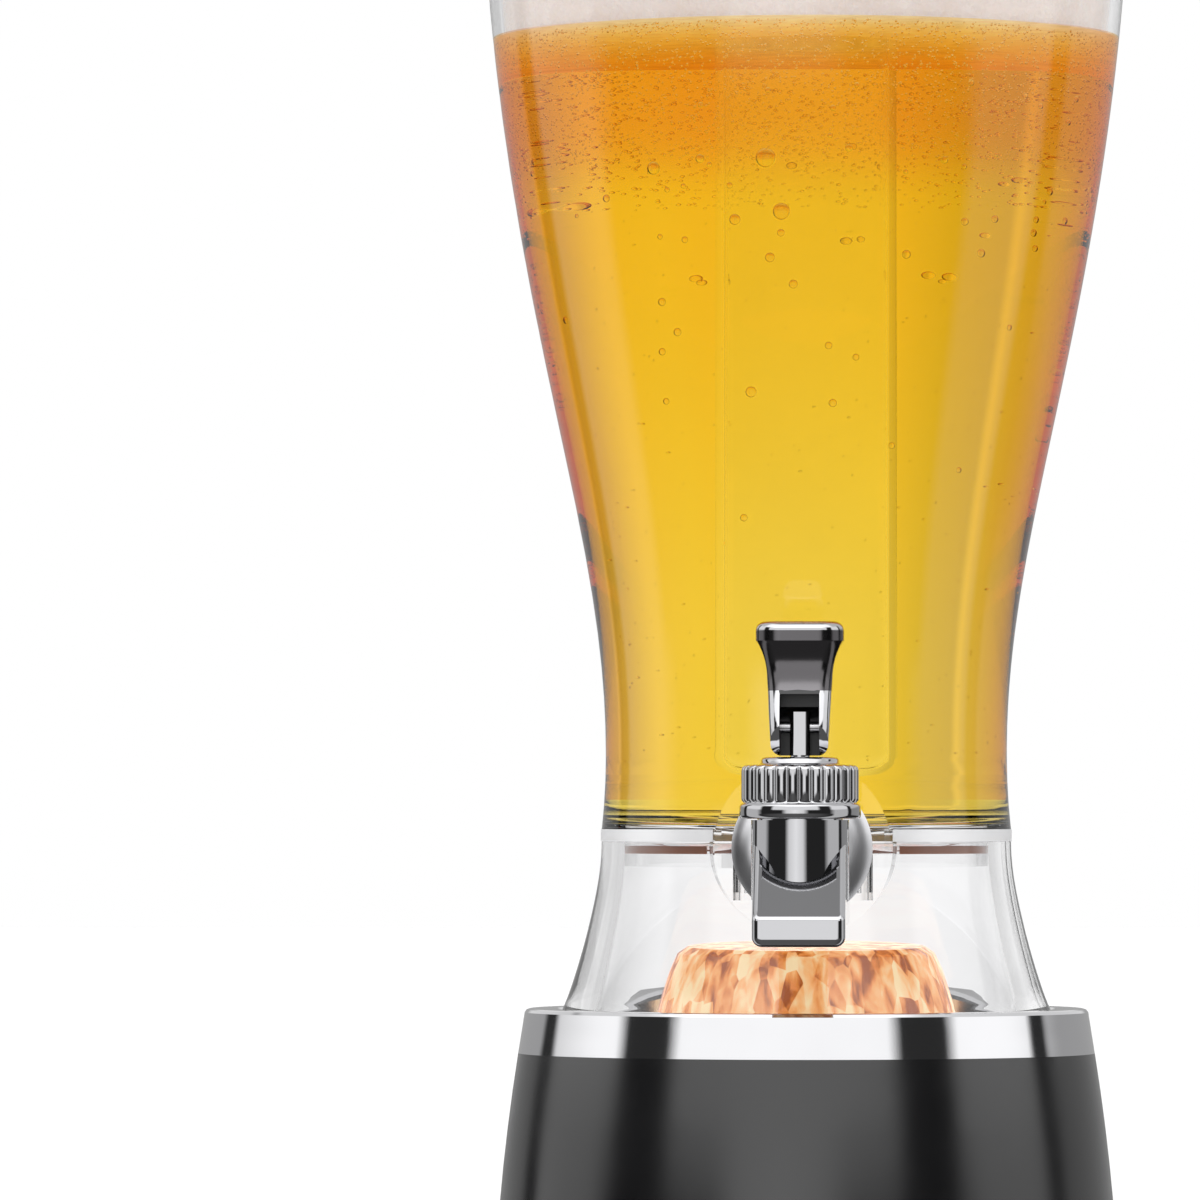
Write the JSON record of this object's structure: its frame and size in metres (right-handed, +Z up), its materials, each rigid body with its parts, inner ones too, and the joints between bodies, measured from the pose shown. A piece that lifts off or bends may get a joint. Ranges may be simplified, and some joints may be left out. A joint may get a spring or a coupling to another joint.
{
  "type": "beer tap tower",
  "caption": "Table dispenser: black base with a bright ring, lit clear pedestal, clear hourglass vessel with a lid and ice tube, and a lever tap in front.",
  "frame": {"origin": "on the vessel's axis, at the underside of the mat that the tower stands on", "axes": "+Z up along the vessel's axis; the tap points to -Y; +X to the right seen from the tap's side"},
  "size_m": [0.1776, 0.1999, 0.4585],
  "materials": {
    "black_shell": "satin black moulding",
    "chrome_trim": "bright plated",
    "clear_wall": "clear, polished",
    "clear_skirt": "clear, polished",
    "clear_tube": "clear, polished",
    "amber_lens": "clear amber, faceted",
    "black_rubber": "matt",
    "white_seal": "matt, translucent white",
    "steel": "plain",
    "tap_chrome": "bright plated",
    "grey_moulding": "moulded",
    "board": "white circuit board",
    "led": "clear lamp bodies",
    "cell_jacket": "plain printed jacket",
    "wire": "insulated wire",
    "band_silver": "bright strip"
  },
  "bodies": {
    "tower": {"non_slip_mat": "black_rubber", "bottom_plate": "grey_moulding", "base_screws": "steel", "base_shell": "black_shell", "base_trim_ring": "chrome_trim", "battery_holder": "grey_moulding", "batteries": "cell_jacket", "battery_contacts": "steel", "battery_door": "grey_moulding", "battery_door_screw": "steel", "switch_body": "grey_moulding", "button_spring": "steel", "led_housing": "black_shell", "led_board": "board", "leds": "led", "led_dome": "amber_lens", "lead_wires": "wire", "skirt": "clear_skirt", "skirt_screws": "steel", "trim_band": "band_silver", "vessel": "clear_wall", "vessel_seal": "white_seal", "outer_gasket": "black_rubber", "escutcheon": "tap_chrome", "tap_body": "tap_chrome", "inner_gasket": "white_seal", "shank_nut": "white_seal", "bonnet_nut": "tap_chrome", "stem_seal": "black_rubber", "valve_spring": "steel"},
    "stem": {"valve_stem": "tap_chrome", "valve_plug": "black_rubber"},
    "lever": {"lever": "tap_chrome", "lever_pin": "steel", "lever_cap": "tap_chrome"},
    "button": {"power_button": "black_shell"},
    "lid": {"lid": "black_shell", "lid_gasket": "white_seal"},
    "ice_tube": {"ice_tube": "clear_tube"},
    "tube_cap": {"ice_tube_cap": "black_shell", "cap_seal": "white_seal"}
  },
  "joints": [
    {"name": "stem_lift", "type": "slide", "parent": "tower", "child": "stem", "axis": [0, 0, 1], "range_m": [0, 0.0046], "deforming": ["valve_spring"]},
    {"name": "lever_tilt", "type": "hinge", "parent": "stem", "child": "lever", "pos_m": [0, -0.087, 0.189], "axis": [1, 0, 0], "range_deg": [0, 75], "stiffness_Nm_per_rad": 0.03, "springref_deg": -22.92},
    {"name": "button_press", "type": "slide", "parent": "tower", "child": "button", "axis": [0, -1, 0], "range_m": [0, 0.0015], "stiffness_N_per_m": 300, "springref_m": -0.001, "deforming": ["button_spring"]},
    {"name": "lid_lift", "type": "slide", "parent": "tower", "child": "lid", "axis": [0, 0, 1], "range_m": [0, 0.267]},
    {"name": "ice_tube_lift", "type": "slide", "parent": "lid", "child": "ice_tube", "axis": [0, 0, 1], "range_m": [0, 0.277]},
    {"name": "tube_cap_lift", "type": "slide", "parent": "ice_tube", "child": "tube_cap", "axis": [0, 0, 1], "range_m": [0, 0.02]}
  ],
  "couplings": [
    {"joint": "stem_lift", "follows": "lever_tilt", "m_per_rad": 0.0034377}
  ]
}
